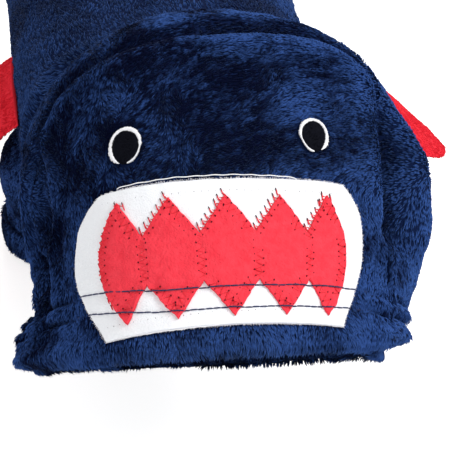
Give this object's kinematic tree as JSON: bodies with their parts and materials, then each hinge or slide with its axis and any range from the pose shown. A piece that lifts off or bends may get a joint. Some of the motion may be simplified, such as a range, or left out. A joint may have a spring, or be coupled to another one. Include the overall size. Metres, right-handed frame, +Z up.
{
  "type": "plush shark dog costume",
  "caption": "Plush shark costume for a small dog: a head-shaped hood with a toothed felt mouth, a tube body with sleeves, and stuffed side fins, back fin and tail.",
  "frame": {"origin": "centre of the wearer's neck, which the collar and the hood turn about", "axes": "+Y along the back to the tail, -Y the face, +X the wearer's left, +Z up"},
  "size_m": [0.25, 0.439, 0.2092],
  "materials": {
    "navy_plush": "short-pile plush",
    "red_fleece": "soft fleece",
    "white_felt": "felt",
    "red_felt": "felt",
    "white_thread": "satin stitch",
    "black_thread": "satin stitch",
    "closing_tape": "woven tape",
    "elastic": "woven elastic",
    "filling": "fibre filling"
  },
  "bodies": {
    "torso": {"back_panel": "navy_plush", "belly_panel_left": "navy_plush", "belly_panel_right": "navy_plush", "neck_collar": "navy_plush", "rear_hem": "navy_plush", "hook_strip": "closing_tape"},
    "neck": {"neck_tape": "closing_tape"},
    "hood": {"hood_face_panel": "navy_plush", "hood_side_left": "navy_plush", "hood_side_right": "navy_plush", "hood_neck_edge": "navy_plush", "hood_hem_facing": "navy_plush", "face_elastic": "elastic", "mouth_patch": "white_felt", "mouth_felt": "red_felt", "eye_ring_left": "white_thread", "eye_ring_right": "white_thread", "eye_pupil_left": "black_thread", "eye_pupil_right": "black_thread"},
    "flap": {"belly_flap": "navy_plush", "loop_strip": "closing_tape"},
    "left_sleeve": {"sleeve_left": "navy_plush", "cuff_left": "navy_plush"},
    "right_sleeve": {"sleeve_right": "navy_plush", "cuff_right": "navy_plush"},
    "left_fin": {"fin_left_cover": "red_fleece", "fin_left_filling": "filling"},
    "right_fin": {"fin_right_cover": "red_fleece", "fin_right_filling": "filling"},
    "back_fin": {"dorsal_cover": "red_fleece", "dorsal_filling": "filling"},
    "tail": {"tail_cover": "navy_plush", "tail_filling": "filling"}
  },
  "joints": [
    {"name": "hood_turn", "type": "hinge", "parent": "torso", "child": "neck", "pos_m": [0, 0, 0], "axis": [0, 0, 1], "range_deg": [-20, 20], "stiffness_Nm_per_rad": 0.5},
    {"name": "hood_nod", "type": "hinge", "parent": "neck", "child": "hood", "pos_m": [0, 0, 0], "axis": [1, 0, 0], "range_deg": [-12, 15], "stiffness_Nm_per_rad": 4},
    {"name": "flap_open", "type": "hinge", "parent": "torso", "child": "flap", "pos_m": [-0.01308, 0.1285, -0.06088], "axis": [0, 0.9989, 0.0462], "range_deg": [0, 80]},
    {"name": "left_sleeve_swing", "type": "hinge", "parent": "torso", "child": "left_sleeve", "pos_m": [0.045, 0.084, -0.054], "axis": [1, 0, 0], "range_deg": [-15, 15], "stiffness_Nm_per_rad": 0.05},
    {"name": "right_sleeve_swing", "type": "hinge", "parent": "torso", "child": "right_sleeve", "pos_m": [-0.045, 0.084, -0.054], "axis": [1, 0, 0], "range_deg": [-15, 15], "stiffness_Nm_per_rad": 0.05},
    {"name": "left_fin_flap", "type": "hinge", "parent": "torso", "child": "left_fin", "pos_m": [0.06781, 0.052, -0.01005], "axis": [-0.0296, 0.9965, -0.0785], "range_deg": [-30, 30], "stiffness_Nm_per_rad": 0.15},
    {"name": "right_fin_flap", "type": "hinge", "parent": "torso", "child": "right_fin", "pos_m": [-0.06781, 0.052, -0.01005], "axis": [0.0296, 0.9965, -0.0785], "range_deg": [-30, 30], "stiffness_Nm_per_rad": 0.15},
    {"name": "back_fin_sway", "type": "hinge", "parent": "torso", "child": "back_fin", "pos_m": [0, 0.108, 0.04121], "axis": [0, 0.9989, -0.0462], "range_deg": [-35, 35], "stiffness_Nm_per_rad": 0.15},
    {"name": "tail_wag", "type": "hinge", "parent": "torso", "child": "tail", "pos_m": [0, 0.24177, 0.03427], "axis": [0, 0.9903, -0.1392], "range_deg": [-35, 35], "stiffness_Nm_per_rad": 0.15}
  ]
}
